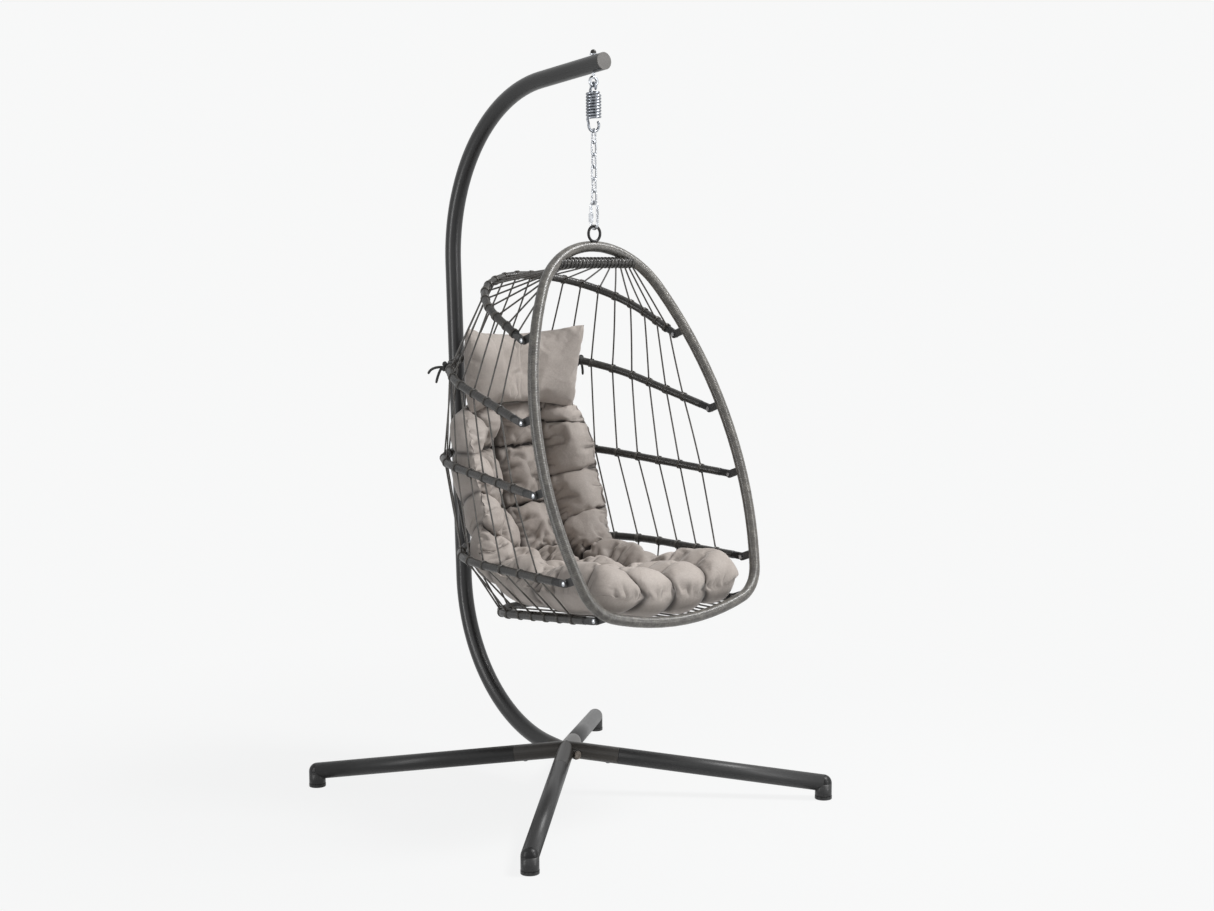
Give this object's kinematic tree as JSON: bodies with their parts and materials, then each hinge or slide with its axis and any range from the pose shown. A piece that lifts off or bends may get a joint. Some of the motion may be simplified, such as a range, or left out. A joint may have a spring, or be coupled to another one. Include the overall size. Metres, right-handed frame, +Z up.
{
  "type": "hanging egg chair",
  "caption": "Foldable egg-shaped basket seat of wound tube and strands, with a tufted cushion, hung by spring and chain from a C-shaped mast on a cross base.",
  "frame": {"origin": "on the floor below the middle of the hub", "axes": "+Z up; the basket opens towards -Y, and the mast stands at +Y in the plane X = 0"},
  "size_m": [1.005, 1.0269, 1.9356],
  "materials": {
    "frame": "satin charcoal powder coat",
    "caps": "matt black",
    "arm_cap": "matt grey",
    "bright_bolts": "bright zinc",
    "dark_nut": "dark grey",
    "chain": "bright zinc",
    "basket_steel": "dark powder coat",
    "wound_tube": "steel tube wound with flat grey-brown plastic cane",
    "wound_bar": "wound with flat dark plastic cane",
    "rib_tube": "steel tube wound with flat dark plastic cane",
    "strands": "round dark grey cane",
    "cloth": "woven polyester, taupe",
    "ties": "black woven tape"
  },
  "bodies": {
    "stand": {"hub": "frame", "leg_front_left": "frame", "leg_front_right": "frame", "leg_rear_left": "frame", "leg_rear_right": "frame", "foot_caps": "caps", "leg_screws": "bright_bolts", "mast_lower": "frame", "mast_upper": "frame", "mast_bolt": "bright_bolts", "mast_screws": "bright_bolts", "arm_cap": "arm_cap", "eyebolt": "bright_bolts", "eyebolt_washer": "bright_bolts", "eyebolt_nut": "dark_nut"},
    "spring": {"spring": "chain"},
    "link_1": {"link_1": "chain"},
    "link_2": {"link_2": "chain"},
    "link_3": {"link_3": "chain"},
    "link_4": {"link_4": "chain"},
    "link_5": {"link_5": "chain"},
    "link_6": {"link_6": "chain"},
    "quick_link": {"quick_link": "chain"},
    "sleeve_nut": {"sleeve_nut": "chain"},
    "basket": {"hoop": "wound_tube", "hang_eye": "basket_steel", "crossbar": "wound_bar", "rib_tabs": "basket_steel", "rib_bolts": "bright_bolts", "rib_nuts": "bright_bolts", "strands_top": "strands", "strands_1_2": "strands", "strands_2_3": "strands", "strands_3_4": "strands", "strands_4_5": "strands", "strands_seat": "strands", "cushion": "cloth", "pillow": "cloth"},
    "rib_1": {"rib_1": "rib_tube"},
    "rib_2": {"rib_2": "rib_tube", "cushion_ties": "ties"},
    "rib_3": {"rib_3": "rib_tube"},
    "rib_4": {"rib_4": "rib_tube"},
    "rib_5": {"rib_5": "rib_tube"}
  },
  "joints": [
    {"name": "hanger_swing", "type": "hinge", "parent": "stand", "child": "spring", "pos_m": [0, -0.13, 1.84502], "axis": [1, 0, 0], "range_deg": [-10, 4]},
    {"name": "spring_bounce", "type": "slide", "parent": "spring", "child": "link_1", "axis": [0, 0, -1], "range_m": [0, 0.03], "stiffness_N_per_m": 20000, "springref_m": -0.012, "deforming": ["spring"]},
    {"name": "link_2_sideways", "type": "hinge", "parent": "link_1", "child": "link_2", "pos_m": [0, -0.13, 1.70212], "axis": [0, 1, 0], "range_deg": [-10, 10]},
    {"name": "link_3_forward", "type": "hinge", "parent": "link_2", "child": "link_3", "pos_m": [0, -0.13, 1.67172], "axis": [1, 0, 0], "range_deg": [-12, 2]},
    {"name": "chain_twist", "type": "hinge", "parent": "link_3", "child": "link_4", "pos_m": [0, -0.13, 1.64132], "axis": [0, 0, 1], "range_deg": [-22, 22]},
    {"name": "link_5_forward", "type": "hinge", "parent": "link_4", "child": "link_5", "pos_m": [0, -0.13, 1.61092], "axis": [1, 0, 0], "range_deg": [-12, 2]},
    {"name": "link_6_sideways", "type": "hinge", "parent": "link_5", "child": "link_6", "pos_m": [0, -0.13, 1.58052], "axis": [0, 1, 0], "range_deg": [-10, 10]},
    {"name": "quick_link_forward", "type": "hinge", "parent": "link_6", "child": "quick_link", "pos_m": [0, -0.13, 1.55012], "axis": [1, 0, 0], "range_deg": [-12, 2]},
    {"name": "sleeve_travel", "type": "slide", "parent": "quick_link", "child": "sleeve_nut", "axis": [0, 0, 1], "range_m": [0, 0.014]},
    {"name": "hoop_sideways", "type": "hinge", "parent": "quick_link", "child": "basket", "pos_m": [0, -0.13, 1.48842], "axis": [0, 1, 0], "range_deg": [-15, 15]},
    {"name": "rib_1_fold", "type": "hinge", "parent": "basket", "child": "rib_1", "pos_m": [0.00139, -0.15646, 1.21453], "axis": [0.9986, 0.0523, 0], "range_deg": [0, 41.25], "deforming": ["strands_top", "strands_1_2", "strands_2_3", "strands_3_4", "strands_4_5", "strands_seat", "cushion", "pillow", "cushion_ties"]},
    {"name": "rib_2_fold", "type": "hinge", "parent": "basket", "child": "rib_2", "pos_m": [0.00504, -0.22614, 1.01964], "axis": [0.9986, 0.0523, 0], "range_deg": [0, 49.35], "deforming": ["strands_top", "strands_1_2", "strands_2_3", "strands_3_4", "strands_4_5", "strands_seat", "cushion", "pillow", "cushion_ties"]},
    {"name": "rib_3_fold", "type": "hinge", "parent": "basket", "child": "rib_3", "pos_m": [0.00821, -0.28673, 0.85018], "axis": [0.9986, 0.0523, 0], "range_deg": [0, 57.25], "deforming": ["strands_top", "strands_1_2", "strands_2_3", "strands_3_4", "strands_4_5", "strands_seat", "cushion", "pillow", "cushion_ties"]},
    {"name": "rib_4_fold", "type": "hinge", "parent": "basket", "child": "rib_4", "pos_m": [0.0121, -0.36079, 0.64305], "axis": [0.9986, 0.0523, 0], "range_deg": [0, 58.9], "deforming": ["strands_top", "strands_1_2", "strands_2_3", "strands_3_4", "strands_4_5", "strands_seat", "cushion", "pillow", "cushion_ties"]},
    {"name": "rib_5_fold", "type": "hinge", "parent": "basket", "child": "rib_5", "pos_m": [0.01386, -0.39445, 0.54891], "axis": [0.9986, 0.0523, 0], "range_deg": [0, 72.35], "deforming": ["strands_top", "strands_1_2", "strands_2_3", "strands_3_4", "strands_4_5", "strands_seat", "cushion", "pillow", "cushion_ties"]}
  ],
  "couplings": [
    {"joint": "rib_1_fold", "follows": "rib_4_fold", "ratio": 0.69949},
    {"joint": "rib_2_fold", "follows": "rib_4_fold", "ratio": 0.83701},
    {"joint": "rib_3_fold", "follows": "rib_4_fold", "ratio": 0.97114},
    {"joint": "rib_5_fold", "follows": "rib_4_fold", "ratio": 1.2275}
  ]
}
